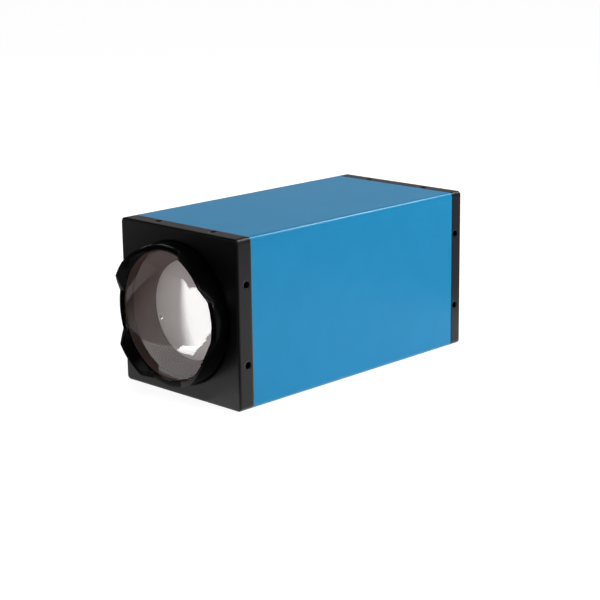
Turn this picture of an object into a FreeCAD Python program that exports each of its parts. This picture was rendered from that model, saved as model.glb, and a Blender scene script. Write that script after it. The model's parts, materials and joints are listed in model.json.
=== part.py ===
import FreeCAD, Part

import math
import os

from FreeCAD import Vector

# A box-shaped machine vision camera with a motorised zoom lens.
# Millimetres. The lens looks along -Y, +X is to its right seen from the front, +Z is up.
# The camera stands on z = 0. Depths are measured back from the front plate's front face,
# and heights from the optical axis.

# ---------------------------------------------------------------- housing
section = 50.0                 # outer width and height of the housing
body_length = 98.0             # front face of the front plate to rear face of the rear plate
edge_radius = 1.25             # long outer edges
plate_chamfer = 0.35           # outer rim of both plates
front_plate_thickness = 5.3
rear_plate_thickness = 4.6
rear_web = 1.8                 # rear plate behind its pocket
rear_pocket_inset = 5.0        # edge of the pocket to the outer faces
rear_pocket_radius = 1.0
sleeve_wall = 2.0

# four long screws clamp the sleeve between the plates
tie_inset = 4.5                # screw axis to the outer faces
tie_boss_radius = 3.4
tie_shank_radius = 1.2
tie_hole_radius = 1.35
tie_thread_depth = 3.8
tie_tip_gap = 0.2
tie_head_radius = 2.25
tie_head_height = 2.5
tie_counterbore_radius = 2.4
tie_counterbore_depth = 2.8
tie_socket_width = 2.0
tie_socket_depth = 1.2

# threaded mounting holes in all four sides of both plates
mount_hole_radius = 1.05
mount_hole_depth = 4.0
mount_hole_spacing = 23.4
front_mount_setback = 3.3      # behind the front face
rear_mount_setback = 2.9       # ahead of the rear face

# ---------------------------------------------------------------- lens collar
collar_margin = 4.0            # plate left beside the collar at the middle of each side
collar_gap = 0.25              # between the collar and the hole in the front plate
collar_reach = 5.0             # rim of the collar ahead of the front plate
petal_height = 3.0             # petals ahead of the rim
petal_lip = 0.45               # petals' wall at their tips
petal_corner_radius = 0.9
rim_lip_width = 0.3            # rim over the edge of the front lens
rim_lip = 0.4
collar_step = 0.4              # collar outside the plate to the tube behind its flange
collar_wall = 1.2
collar_tube_depth = 12.0
flange_width = 1.6
flange_thickness = 1.5
ear_gap = 0.6                  # flange's ears to the sleeve's screw bosses
ear_radius = 2.0
lens_screw_radius = 0.65
lens_screw_hole_radius = 0.85
lens_screw_depth = 3.0
lens_screw_tip_gap = 0.2
lens_screw_head_radius = 1.3
lens_screw_head_height = 1.0
# the two kinds of notch between the petals: floor from and to, then mouth from and to, in
# degrees about the lens axis; each is cut again half a turn round
side_notch_angles = (168.0, 200.0, 153.0, 212.0)
end_notch_angles = (72.0, 105.0, 64.0, 138.0)

# ---------------------------------------------------------------- front lens group
front_lens_edge = 3.1
front_lens_bulge = 2.3
front_lens_hollow = 0.9
spacer_mouth_margin = 0.5      # spacer's mouth inside the rim's bore
spacer_throat_margin = 1.4     # spacer's throat inside the second lens's edge
spacer_throat_length = 0.8
spacer_seat_depth = 4.0        # front of the second lens's seat
second_lens_margin = 3.0       # second lens's edge inside the collar's bore
second_lens_edge = 4.6
second_lens_bulge = 1.5
second_lens_hollow = 1.4

# ---------------------------------------------------------------- lens chassis
chassis_seat_width = 1.2       # chassis ring under the second lens's edge
chassis_ring_thickness = 2.5
chassis_ring_width = 3.2       # step in from the chassis's bore to its opening
longeron_thickness = 1.4
longeron_half_angle = 30.0
middle_wall_thickness = 3.0
rod_radius = 1.0
rod_offset = 14.0
running_gap = 0.05

# ---------------------------------------------------------------- zoom and focus drives
screw_offset = 14.5
screw_radius = 1.0
screw_tip_radius = 0.6
screw_journal_radius = 0.7
screw_end_gap = 0.1
screw_shoulder_gap = 0.4
motor_radius = 3.2
motor_length = 9.0
motor_boss_radius = 1.8
journal_seat_depth = 0.8       # how far the journal runs into the motor can
bracket_sheet = 0.6
bracket_width = 6.0
bracket_clearance = 0.5        # web of the bracket to the motor can's line
tab_foot = 3.0                 # a tab's reach past the screw axis, towards the optical axis
nut_size = 4.0
nut_length = 3.0
nut_setback = 1.5

zoom_front_gap = 1.5           # chassis ring to the carriage at its front limit
zoom_end_gap = 2.0             # carriage at its rear limit to the middle wall
zoom_ring_radius = 9.6
zoom_lens_radius = 8.0
zoom_ring_length = 5.0
zoom_bush_length = 8.0
zoom_lens_hollow = 1.0

focus_front_gap = 0.9          # iris lever to the carriage at its front limit
focus_end_gap = 1.5            # carriage at its rear limit to the rear barrel
focus_ring_radius = 8.6
focus_lens_radius = 7.0
focus_ring_length = 4.0
focus_bush_length = 6.0
focus_travel = 6.0
focus_lens_bulge = 0.6

bush_radius = 2.2
arm_half_width = 2.0
fork_length = 3.0
fork_half_height = 2.4
fork_reach = 1.6
lens_margin = 0.5              # carriage lens set in from the ends of its ring

# ---------------------------------------------------------------- fixed middle group and iris
cell_radius = 9.0
cell_bore_radius = 7.4
cell_lead = 1.5                # ahead of the middle wall
cell_tail = 2.0                # behind the middle wall
middle_lens_setback = 2.0
middle_lens_edge = 2.2
middle_lens_bulge = 0.8
iris_plate = 0.8
iris_opening_radius = 6.2
iris_slide_angle = 40.0        # direction in which the upper blade slides out
iris_pivot_offset = 13.5       # lever pivot from the optical axis, square to the slide
iris_pin_offset = 4.5
iris_pin_radius = 0.5
iris_travel = 2.4              # each way from half open
blade_thickness = 0.2
blade_gap = 0.2
blade_half_width = 6.0
blade_half_length = 8.5
blade_hole_radius = 5.2
blade_tab_half_width = 1.5
blade_slot_clearance = 0.3
blade_slot_end = 1.3
blade_tab_margin = 0.7
lever_thickness = 0.8
lever_half_width = 0.9
lever_shaft_radius = 0.5
magnet_radius = 1.8
magnet_length = 4.5
coil_bore_radius = 2.0
coil_radius = 3.0
coil_length = 5.0
coil_foot_thickness = 0.6
coil_leg_radius = 0.6
coil_leg_offset = 5.0
iris_ear_margin = 0.3          # iris base around the coil's legs
coil_lever_gap = 0.3

# ---------------------------------------------------------------- rear barrel and filter
rear_wall_thickness = 1.5
filter_bay_length = 4.5
rear_barrel_opening = 6.0
filter_pivot_inset = 5.8       # pivot inside the coil's centre
filter_angle = -45.0           # from the optical axis to the pivot, from +X towards +Z
filter_pin_radius = 0.5
filter_gap = 1.0               # front of the filter arm behind the barrel's front wall
filter_arm_thickness = 0.8
filter_ring_radius = 6.3
filter_glass_radius = 5.4
filter_arm_half_width = 1.5
filter_magnet_radius = 2.0
filter_magnet_length = 2.0
filter_coil_size = 5.0
filter_coil_inset = 2.8        # coil's centre inside the barrel's rim
sensor_window = (9.0, 7.0)

# ---------------------------------------------------------------- sensor and boards
seal_thickness = 0.9
seal_size = (13.0, 11.0)
sensor_size = (13.0, 11.0)
sensor_thickness = 2.0
sensor_glass_size = (10.0, 8.0)
sensor_glass_thickness = 0.5
board_thickness = 1.6
board_side_gap = 3.0           # boards to the sleeve
board_notch = 3.5
spacer_offset = 13.0
spacer_radius = 1.5
board_screw_radius = 0.8
board_screw_head_radius = 1.9
board_screw_head_height = 1.2
board_screw_bite = 1.2
board_spacing = 5.0            # sensor board to processing board
link_size = (14.0, 4.0)
link_inset = 6.0               # its line above the lower edge of the boards
chip_height = 1.0
chip_sizes = ((0.0, 9.0, 10.0, 10.0), (-10.0, -5.0, 6.0, 8.0), (10.0, -5.0, 6.0, 8.0))
heat_chip = (6.0, 8.0, 8.0, 8.0)
heat_pad_thickness = 0.5
bridge_sheet = 1.2
bridge_length = 10.0
bridge_low = 3.0
bridge_high = 14.0
bridge_inner_edge = 2.0
ribbon_thickness = 0.3
ribbon_half_width = 4.0
ribbon_gap = 1.3               # ribbons to the sleeve
ribbon_foot = 3.0

# ---------------------------------------------------------------- network socket
jack_width = 16.0
jack_height = 13.6
jack_depth = 15.5
jack_height_offset = -9.0      # centre below the axis
jack_gap = 0.15
jack_proud = 0.3
jack_mouth_width = 11.8
jack_mouth_height = 6.8
jack_mouth_depth = 12.5
jack_latch_width = 6.2
jack_latch_height = 2.4
jack_contact_count = 8
jack_contact_pitch = 1.02
jack_contact_width = 0.4
jack_contact_length = 7.0
jack_contact_drop = 1.6
lock_hole_radius = 0.8
lock_hole_spacing = 40.0
lock_boss_radius = 2.2
interface_side_gap = 0.1       # interface board to the sleeve's screw bosses
interface_length = 12.8
interface_gap = 1.6            # behind the processing board
interface_margin = 0.4         # ahead of the rear plate
rear_link_size = (12.0, 3.0)
rear_link_gap = 0.3

# ---------------------------------------------------------------- round connector and lamp
io_inset = 9.0                 # connector's and lamp's centres to the edges of the pocket
io_shell_radius = 6.0
io_bore_radius = 4.9
io_reach = 5.0
io_flange_radius = 7.2
io_flange_thickness = 1.0
io_nut_width = 14.0
io_nut_thickness = 2.0
io_tail = 3.4                  # shell behind the rear plate
io_face_recess = 3.5
io_pin_radius = 0.35
io_pin_recess = 1.0
io_pin_ring_radii = (3.4, 1.3)
io_pin_ring_counts = (9, 3)
io_tail_length = 2.0
io_board_half = 7.0
lamp_radius = 1.5
lamp_length = 8.0
lamp_flange_radius = 2.1
lamp_flange_thickness = 0.8
lamp_proud = 0.6

# ---------------------------------------------------------------- derived sizes across the axis
half = section / 2.0
axis_height = half
sleeve_inside = half - sleeve_wall
tie_offset = half - tie_inset
tie_diagonal = tie_offset * math.sqrt(2.0)
rear_pocket_half = half - rear_pocket_inset

collar_radius = half - collar_margin
petal_mouth_radius = collar_radius - petal_lip
collar_tube_radius = collar_radius - collar_step
collar_bore_radius = collar_tube_radius - collar_wall
rim_bore_radius = collar_bore_radius - rim_lip_width
flange_radius = collar_radius + flange_width
ear_offset = tie_diagonal - tie_boss_radius - ear_gap - ear_radius
spacer_mouth_radius = rim_bore_radius - spacer_mouth_margin
second_lens_radius = collar_bore_radius - second_lens_margin
spacer_throat_radius = second_lens_radius - spacer_throat_margin
chassis_bore_radius = second_lens_radius - chassis_seat_width
chassis_ring_opening = chassis_bore_radius - chassis_ring_width

rear_barrel_radius = collar_tube_radius
filter_coil_offset = rear_barrel_radius - filter_coil_inset
filter_pivot_offset = filter_coil_offset - filter_pivot_inset
board_half = sleeve_inside - board_side_gap
link_height = link_inset - board_half
ribbon_line = sleeve_inside - ribbon_gap
interface_half_width = tie_offset - tie_boss_radius - interface_side_gap
jack_low = jack_height_offset - jack_height / 2.0
jack_high = jack_height_offset + jack_height / 2.0
io_offset = rear_pocket_half - io_inset       # connector to the left, lamp to the right, both above

# ---------------------------------------------------------------- derived depths
petal_reach = collar_reach + petal_height
overall_length = petal_reach + body_length + io_reach
front_face_y = petal_reach - overall_length / 2.0
sleeve_start = front_plate_thickness
sleeve_end = body_length - rear_plate_thickness
rear_pocket_floor = body_length - rear_web

# from the front plate back to the zoom carriage
flange_end = front_plate_thickness + flange_thickness
front_lens_seat = -collar_reach + rim_lip
front_lens_back = front_lens_seat + front_lens_edge
second_lens_back = spacer_seat_depth + second_lens_edge
chassis_ring_back = collar_tube_depth + chassis_ring_thickness
zoom_start = chassis_ring_back + zoom_front_gap

# from the rear plate forward through the boards, the sensor and the filter bay
jack_front = body_length + jack_proud - jack_depth
jack_back = body_length + jack_proud
io_back = body_length + io_reach
io_insulator_front = sleeve_end - io_tail
io_insulator_back = io_back - io_face_recess
io_pin_tip = io_back - io_pin_recess
io_board_back = io_insulator_front - io_tail_length
interface_back = sleeve_end - interface_margin
interface_front = interface_back - interface_length
processor_back = interface_front - interface_gap
processor_front = processor_back - board_thickness
sensor_board_back = processor_front - board_spacing
sensor_board_front = sensor_board_back - board_thickness
sensor_front = sensor_board_front - sensor_thickness
rear_barrel_back = sensor_front - seal_thickness
filter_bay_back = rear_barrel_back - rear_wall_thickness
filter_bay_front = filter_bay_back - filter_bay_length
filter_arm_front = filter_bay_front + filter_gap
rear_barrel_depth = filter_bay_front - rear_wall_thickness

# from the rear barrel forward through the focus group and the iris
focus_start = rear_barrel_depth - focus_end_gap - focus_travel - focus_bush_length
lever_front = focus_start - focus_front_gap - lever_thickness
coil_front = lever_front + lever_thickness + coil_lever_gap
lower_blade_front = lever_front - blade_gap - blade_thickness
upper_blade_front = lower_blade_front - blade_gap - blade_thickness
iris_front = upper_blade_front - blade_gap - iris_plate
middle_wall_back = iris_front - cell_tail
middle_wall_depth = middle_wall_back - middle_wall_thickness
zoom_travel = middle_wall_depth - zoom_end_gap - zoom_bush_length - zoom_start

DEPTH = Vector(0, 1, 0)
parts = {}


# ---------------------------------------------------------------- helpers
def place(x, depth, height):
    """Point from sideways offset, depth behind the front face and height above the axis."""
    return Vector(x, front_face_y + depth, axis_height + height)


def rod(radius, depth0, depth1, x=0.0, height=0.0):
    return Part.makeCylinder(radius, depth1 - depth0, place(x, depth0, height), DEPTH)


def pipe(outer, inner, depth0, depth1, x=0.0, height=0.0):
    return rod(outer, depth0, depth1, x, height).cut(rod(inner, depth0, depth1, x, height))


def block(x0, x1, depth0, depth1, height0, height1):
    return Part.makeBox(x1 - x0, depth1 - depth0, height1 - height0, place(x0, depth0, height0))


def turned(profile, x=0.0, height=0.0):
    """Solid turned about the depth axis from (radius, depth) corners."""
    corners = [place(x + radius, depth, height) for radius, depth in profile]
    face = Part.Face(Part.makePolygon(corners + corners[:1]))
    return face.revolve(place(x, 0, height), DEPTH, 360)


def lens(radius, front, back, front_bulge, back_bulge, clear_radius):
    """Lens with a flat edge; a bulge is positive where the surface swells outwards."""
    def arc(start, end, centre_depth, edge_depth):
        middle_radius = clear_radius / 2.0
        sag = abs(centre_depth - edge_depth)
        curve_radius = (clear_radius ** 2 + sag ** 2) / (2.0 * sag)
        rise = curve_radius - sag - math.sqrt(curve_radius ** 2 - middle_radius ** 2)
        towards = 1.0 if centre_depth > edge_depth else -1.0
        middle = place(middle_radius, edge_depth - towards * rise, 0)
        return Part.Arc(start, middle, end).toShape()

    front_centre = front - front_bulge
    back_centre = back + back_bulge
    centre_front = place(0, front_centre, 0)
    edge_front = place(clear_radius, front, 0)
    corner_front = place(radius, front, 0)
    corner_back = place(radius, back, 0)
    edge_back = place(clear_radius, back, 0)
    centre_back = place(0, back_centre, 0)
    edges = [arc(centre_front, edge_front, front_centre, front),
             Part.LineSegment(edge_front, corner_front).toShape(),
             Part.LineSegment(corner_front, corner_back).toShape(),
             Part.LineSegment(corner_back, edge_back).toShape(),
             arc(edge_back, centre_back, back_centre, back),
             Part.LineSegment(centre_back, centre_front).toShape()]
    return Part.Face(Part.Wire(edges)).revolve(place(0, 0, 0), DEPTH, 360)


def fused(shapes):
    return shapes[0].multiFuse(shapes[1:]).removeSplitter()


def four_corners(offset):
    return [(x * offset, z * offset) for x in (-1, 1) for z in (-1, 1)]


def rounded_square(half_width, radius, depth0, depth1):
    """Square bar along the depth axis with rounded long edges."""
    bar = block(-half_width, half_width, depth0, depth1, -half_width, half_width)
    long_edges = [e for e in bar.Edges if abs(e.tangentAt(e.FirstParameter).y) > 0.9]
    return bar.makeFillet(radius, long_edges)


def hexagon(width, depth0, depth1, x=0.0, height=0.0):
    radius = width / math.sqrt(3.0)
    corners = [place(x + radius * math.cos(math.radians(a)), depth0,
                     height + radius * math.sin(math.radians(a))) for a in range(0, 360, 60)]
    return Part.Face(Part.makePolygon(corners + corners[:1])).extrude(Vector(0, depth1 - depth0, 0))


def turned_by(shape, angle):
    """Turn about the optical axis, from +X towards +Z."""
    copy = shape.copy()
    copy.rotate(place(0, 0, 0), DEPTH, -angle)
    return copy


# ---------------------------------------------------------------- housing
def mount_holes(depth):
    """A pair of blind threaded holes in each of a plate's four sides."""
    holes = []
    for side in range(4):
        for across in (-mount_hole_spacing / 2.0, mount_hole_spacing / 2.0):
            start = place(half - mount_hole_depth, depth, across)
            hole = Part.makeCylinder(mount_hole_radius, mount_hole_depth, start, Vector(1, 0, 0))
            holes.append(turned_by(hole, 90.0 * side))
    return holes


def plate(depth0, depth1, chamfered_depth):
    """Square plate flush with the sleeve, its outer rim chamfered."""
    body = rounded_square(half, edge_radius, depth0, depth1)
    level = place(0, chamfered_depth, 0).y
    rim = [e for e in body.Edges if all(abs(v.Point.y - level) < 1e-6 for v in e.Vertexes)]
    return body.makeChamfer(plate_chamfer, rim)


def make_front_plate():
    body = plate(0, front_plate_thickness, 0)
    cuts = [rod(collar_radius + collar_gap, 0, front_plate_thickness)]
    cuts += mount_holes(front_mount_setback)
    for x, height in four_corners(tie_offset):
        cuts.append(rod(tie_shank_radius, front_plate_thickness - tie_thread_depth,
                        front_plate_thickness, x, height))
    for x, height in four_corners(ear_offset / math.sqrt(2.0)):
        cuts.append(rod(lens_screw_radius, front_plate_thickness - lens_screw_depth,
                        front_plate_thickness, x, height))
    return body.cut(cuts)


def make_sleeve():
    body = rounded_square(half, edge_radius, sleeve_start, sleeve_end)
    body = body.cut(block(-sleeve_inside, sleeve_inside, sleeve_start, sleeve_end,
                          -sleeve_inside, sleeve_inside))
    outline = rounded_square(half, edge_radius, sleeve_start, sleeve_end)
    bosses = [rod(tie_boss_radius, sleeve_start, sleeve_end, x, height).common(outline)
              for x, height in four_corners(tie_offset)]
    bores = [rod(tie_hole_radius, sleeve_start, sleeve_end, x, height)
             for x, height in four_corners(tie_offset)]
    return fused([body] + bosses).cut(bores)


def rear_pocket():
    """Pocket in the rear plate's inner face, clear of its screw and lock bosses."""
    pocket = rounded_square(rear_pocket_half, rear_pocket_radius, sleeve_end, rear_pocket_floor)
    bosses = [rod(tie_boss_radius, sleeve_end, rear_pocket_floor, x, height)
              for x, height in four_corners(tie_offset)]
    bosses += [rod(lock_boss_radius, sleeve_end, rear_pocket_floor, x, jack_height_offset)
               for x in (-lock_hole_spacing / 2.0, lock_hole_spacing / 2.0)]
    return pocket.cut(bosses)


def make_rear_plate():
    body = plate(sleeve_end, body_length, body_length)
    cuts = mount_holes(body_length - rear_mount_setback)
    cuts.append(rear_pocket())
    for x, height in four_corners(tie_offset):
        cuts.append(rod(tie_hole_radius, sleeve_end, body_length, x, height))
        cuts.append(rod(tie_counterbore_radius, body_length - tie_counterbore_depth,
                        body_length, x, height))
    cuts.append(block(-jack_width / 2.0 - jack_gap, jack_width / 2.0 + jack_gap, sleeve_end,
                      body_length, jack_low - jack_gap, jack_high + jack_gap))
    for x in (-lock_hole_spacing / 2.0, lock_hole_spacing / 2.0):
        cuts.append(rod(lock_hole_radius, sleeve_end, body_length, x, jack_height_offset))
    cuts.append(rod(io_shell_radius, sleeve_end, body_length, -io_offset, io_offset))
    cuts.append(rod(lamp_radius, sleeve_end, body_length, io_offset, io_offset))
    return body.cut(cuts)


def make_tie_screws():
    head_start = body_length - tie_counterbore_depth
    head_end = head_start + tie_head_height
    tip = front_plate_thickness - tie_thread_depth + tie_tip_gap
    screws = []
    for x, height in four_corners(tie_offset):
        screw = fused([rod(tie_shank_radius, tip, head_start, x, height),
                       rod(tie_head_radius, head_start, head_end, x, height)])
        socket = hexagon(tie_socket_width, head_end - tie_socket_depth, head_end, x, height)
        screws.append(screw.cut(socket))
    return Part.makeCompound(screws)


# ---------------------------------------------------------------- lens collar
def notch_cutter(floor_from, floor_to, mouth_from, mouth_to):
    """Trapezoid cut straight across one side of the ring of petals, round at its mouth."""
    centre = (floor_from + floor_to) / 2.0
    overrun = 1.0

    def corner(angle, depth):
        return place(0, depth, collar_radius * math.sin(math.radians(angle - centre)))

    def side(floor_angle, mouth_angle, outwards):
        """Edges from the floor up one side and over the petal's corner."""
        floor = corner(floor_angle, -collar_reach)
        mouth = corner(mouth_angle, -petal_reach)
        down = (floor - mouth).normalize()
        across = Vector(0, 0, outwards)
        half_angle = down.getAngle(across) / 2.0
        start = mouth + down * (petal_corner_radius / math.tan(half_angle))
        end = mouth + across * (petal_corner_radius / math.tan(half_angle))
        inwards = (down + across).normalize()
        middle = mouth + inwards * (petal_corner_radius / math.sin(half_angle)
                                    - petal_corner_radius)
        edges = [Part.makeLine(floor, start), Part.Arc(start, middle, end).toShape(),
                 Part.makeLine(end, end - DEPTH * overrun)]
        return edges, floor, end - DEPTH * overrun

    first, first_floor, first_top = side(floor_from, mouth_from, -1.0)
    second, second_floor, second_top = side(floor_to, mouth_to, 1.0)
    outline = first + second + [Part.makeLine(first_floor, second_floor),
                                Part.makeLine(first_top, second_top)]
    face = Part.Face(Part.Wire(Part.__sortEdges__(outline)))
    return turned_by(face.extrude(Vector(collar_radius + overrun, 0, 0)), centre)


def make_lens_collar():
    ring = turned([(petal_mouth_radius, -petal_reach), (collar_radius, -petal_reach),
                   (collar_radius, front_plate_thickness), (flange_radius, front_plate_thickness),
                   (flange_radius, flange_end), (collar_tube_radius, flange_end),
                   (collar_tube_radius, collar_tube_depth),
                   (collar_bore_radius, collar_tube_depth),
                   (collar_bore_radius, front_lens_seat), (rim_bore_radius, front_lens_seat),
                   (rim_bore_radius, -collar_reach)])
    ears = [rod(ear_radius, front_plate_thickness, flange_end, x, height).cut(
            rod(collar_bore_radius, front_plate_thickness, flange_end))
            for x, height in four_corners(ear_offset / math.sqrt(2.0))]
    ring = fused([ring] + ears)
    cuts = [rod(lens_screw_hole_radius, front_plate_thickness, flange_end, x, height)
            for x, height in four_corners(ear_offset / math.sqrt(2.0))]
    for notch in (side_notch_angles, end_notch_angles):
        for half_turn in (0.0, 180.0):
            cuts.append(notch_cutter(*[angle + half_turn for angle in notch]))
    return ring.cut(cuts)


def make_lens_screws():
    tip = front_plate_thickness - lens_screw_depth + lens_screw_tip_gap
    screws = []
    for x, height in four_corners(ear_offset / math.sqrt(2.0)):
        shank = rod(lens_screw_radius, tip, flange_end, x, height)
        head = rod(lens_screw_head_radius, flange_end, flange_end + lens_screw_head_height,
                   x, height)
        screws.append(fused([shank, head]))
    return Part.makeCompound(screws)


def make_front_spacer():
    return turned([(collar_bore_radius, front_lens_back), (collar_bore_radius, second_lens_back),
                   (second_lens_radius, second_lens_back), (second_lens_radius, spacer_seat_depth),
                   (spacer_throat_radius, spacer_seat_depth),
                   (spacer_throat_radius, spacer_seat_depth - spacer_throat_length),
                   (spacer_mouth_radius, front_lens_back)])


# ---------------------------------------------------------------- lens chassis
def longerons(depth0, depth1, radius):
    """Two curved side walls left of a tube when its top and bottom are cut open."""
    shell = pipe(radius, radius - longeron_thickness, depth0, depth1)
    reach = radius + 1.0
    window_half = (radius - longeron_thickness) * math.cos(math.radians(longeron_half_angle))
    window = block(-window_half, window_half, depth0, depth1, -reach, reach)
    return shell.cut(window)


def make_lens_chassis():
    front_ring = turned([(chassis_bore_radius, second_lens_back),
                         (collar_bore_radius, second_lens_back),
                         (collar_bore_radius, collar_tube_depth),
                         (collar_tube_radius, collar_tube_depth),
                         (collar_tube_radius, chassis_ring_back),
                         (chassis_ring_opening, chassis_ring_back),
                         (chassis_ring_opening, collar_tube_depth),
                         (chassis_bore_radius, collar_tube_depth)])
    middle_wall = rod(collar_tube_radius, middle_wall_depth, middle_wall_back)
    body = fused([front_ring, longerons(chassis_ring_back, rear_barrel_depth, collar_tube_radius),
                  middle_wall])
    cuts = [rod(cell_radius, middle_wall_depth, middle_wall_back)]
    for x in (-rod_offset, rod_offset):
        cuts.append(rod(rod_radius, collar_tube_depth, rear_barrel_depth, x))
    for height in (-screw_offset, screw_offset):
        cuts.append(rod(motor_boss_radius, middle_wall_depth, middle_wall_back, 0, height))
    return body.cut(cuts)


def make_guide_rod(x):
    return rod(rod_radius, collar_tube_depth, filter_bay_front, x)


# ---------------------------------------------------------------- zoom and focus drives
def make_carriage(start, ring_radius, lens_radius, ring_length, bush_length, bush_side,
                  nut_side):
    """Lens ring with a long bush on one rod, an open fork on the other and a nut seat."""
    fork_side = -bush_side
    ring = pipe(ring_radius, lens_radius, start, start + ring_length)
    bush = rod(bush_radius, start, start + bush_length, bush_side * rod_offset)
    hub = rod(ring_radius, start, start + ring_length)

    def arm(side, reach, length, half_width):
        low, high = sorted((0.0, side * reach))
        return block(low, high, start, start + length, -half_width, half_width).cut(hub)

    seat_top = screw_offset - nut_size / 2.0
    low, high = sorted((0.0, nut_side * seat_top))
    post = block(-nut_size / 2.0, nut_size / 2.0, start, start + ring_length, low, high).cut(hub)
    body = fused([ring, bush, arm(bush_side, rod_offset, ring_length, arm_half_width),
                  arm(fork_side, rod_offset + fork_reach, fork_length, fork_half_height), post])
    bore = rod(rod_radius + running_gap, start, start + bush_length, bush_side * rod_offset)
    slot_half = rod_radius + running_gap
    slot_root = rod_offset - rod_radius - running_gap
    low, high = sorted((fork_side * slot_root, fork_side * (rod_offset + fork_reach)))
    slot = block(low, high, start, start + fork_length, -slot_half, slot_half)
    return body.cut([bore, slot])


def make_nut(start, side):
    centre = side * screw_offset
    nut = block(-nut_size / 2.0, nut_size / 2.0, start + nut_setback,
                start + nut_setback + nut_length, centre - nut_size / 2.0,
                centre + nut_size / 2.0)
    return nut.cut(rod(screw_radius + running_gap, start, start + nut_setback + nut_length,
                       0, centre))


def make_screw(tip_end, motor_end, towards_motor, side):
    """Lead screw from its tip in the bracket's far tab to its journal in the motor."""
    height = side * screw_offset

    def span(a, b, radius):
        low, high = sorted((a, b))
        return rod(radius, low, high, 0, height)

    thread_start = tip_end + towards_motor * (bracket_sheet + screw_shoulder_gap)
    thread_end = motor_end - towards_motor * (bracket_sheet + screw_shoulder_gap)
    journal_end = (motor_end + towards_motor
                   * (middle_wall_thickness + journal_seat_depth - screw_end_gap))
    return fused([span(tip_end + towards_motor * screw_end_gap, thread_start, screw_tip_radius),
                  span(thread_start, thread_end, screw_radius),
                  span(thread_end, journal_end, screw_journal_radius)])


def make_motor(wall_far_face, wall_near_face, towards_motor, side):
    """Stepper can on the wall's far face, its boss reaching back through wall and bracket."""
    height = side * screw_offset
    boss_end = wall_near_face - towards_motor * bracket_sheet
    can_end = wall_far_face + towards_motor * motor_length
    low, high = sorted((wall_far_face, can_end))
    can = rod(motor_radius, low, high, 0, height)
    low, high = sorted((boss_end, wall_far_face))
    boss = rod(motor_boss_radius, low, high, 0, height)
    low, high = sorted((boss_end, wall_far_face + towards_motor * journal_seat_depth))
    bore = rod(screw_journal_radius + running_gap, low, high, 0, height)
    return fused([can, boss]).cut(bore)


def make_bracket(tip_face, motor_face, side):
    """Folded sheet: a tab at each end of the screw, joined by a web outside it."""
    front, back = sorted((tip_face, motor_face))
    web_low = screw_offset + motor_radius + bracket_clearance
    web_high = web_low + bracket_sheet
    foot = screw_offset - tab_foot

    def strip(depth0, depth1, low, high):
        low, high = sorted((side * low, side * high))
        return block(-bracket_width / 2.0, bracket_width / 2.0, depth0, depth1, low, high)

    body = fused([strip(front, back, web_low, web_high),
                  strip(front, front + bracket_sheet, foot, web_high),
                  strip(back - bracket_sheet, back, foot, web_high)])
    height = side * screw_offset
    towards_motor = 1.0 if motor_face > tip_face else -1.0

    def tab_hole(face, inward, radius):
        low, high = sorted((face, face + inward * bracket_sheet))
        return rod(radius, low, high, 0, height)

    return body.cut([tab_hole(tip_face, towards_motor, screw_tip_radius + running_gap),
                     tab_hole(motor_face, -towards_motor, motor_boss_radius)])


# ---------------------------------------------------------------- middle group and iris
def make_middle_cell():
    return pipe(cell_radius, cell_bore_radius, middle_wall_depth - cell_lead, iris_front)


def iris_point(along, across, depth):
    """Point in the iris's own axes: along the blades' slide and square to it."""
    angle = math.radians(iris_slide_angle)
    x = along * math.cos(angle) - across * math.sin(angle)
    height = along * math.sin(angle) + across * math.cos(angle)
    return place(x, depth, height)


def iris_block(along0, along1, across0, across1, depth0, depth1):
    corners = [iris_point(along0, across0, depth0), iris_point(along1, across0, depth0),
               iris_point(along1, across1, depth0), iris_point(along0, across1, depth0)]
    face = Part.Face(Part.makePolygon(corners + corners[:1]))
    return face.extrude(Vector(0, depth1 - depth0, 0))


def iris_rod(radius, along, across, depth0, depth1):
    return Part.makeCylinder(radius, depth1 - depth0, iris_point(along, across, depth0), DEPTH)


def make_iris_base():
    ear_half = coil_leg_offset + coil_leg_radius + iris_ear_margin
    ear_end = iris_pivot_offset + coil_leg_radius + iris_ear_margin
    body = fused([rod(cell_radius, iris_front, iris_front + iris_plate),
                  iris_block(-ear_half, ear_half, 0, ear_end, iris_front,
                             iris_front + iris_plate)])
    return body.cut(rod(iris_opening_radius, iris_front, iris_front + iris_plate))


def make_blade(front, side, pin_across):
    """Thin blade with its hole moved out by half the travel, and a slotted tab."""
    back = front + blade_thickness
    tab_end = pin_across + blade_slot_end + blade_tab_margin
    shift = side * iris_travel
    body = fused([iris_block(shift - blade_half_length, shift + blade_half_length,
                             -blade_half_width, blade_half_width, front, back),
                  iris_block(-blade_tab_half_width, blade_tab_half_width, 0, tab_end,
                             front, back)])
    slot_half = iris_pin_radius + blade_slot_clearance
    slot = iris_block(-slot_half, slot_half, pin_across - blade_slot_end,
                      pin_across + blade_slot_end, front, back)
    return body.cut([iris_rod(blade_hole_radius, shift, 0, front, back), slot])


def make_iris_lever():
    back = lever_front + lever_thickness
    arm = iris_block(-lever_half_width, lever_half_width,
                     iris_pivot_offset - iris_pin_offset - lever_half_width,
                     iris_pivot_offset + iris_pin_offset + lever_half_width, lever_front, back)
    inner_pin = iris_rod(iris_pin_radius, 0, iris_pivot_offset - iris_pin_offset,
                         lower_blade_front, lever_front)
    outer_pin = iris_rod(iris_pin_radius, 0, iris_pivot_offset + iris_pin_offset,
                         upper_blade_front, lever_front)
    shaft = iris_rod(lever_shaft_radius, 0, iris_pivot_offset, back,
                     coil_front + coil_length + coil_foot_thickness)
    return fused([arm, inner_pin, outer_pin, shaft])


def make_iris_magnet():
    end = coil_front + magnet_length
    magnet = iris_rod(magnet_radius, 0, iris_pivot_offset, coil_front, end)
    return magnet.cut(iris_rod(lever_shaft_radius, 0, iris_pivot_offset, coil_front, end))


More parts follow.
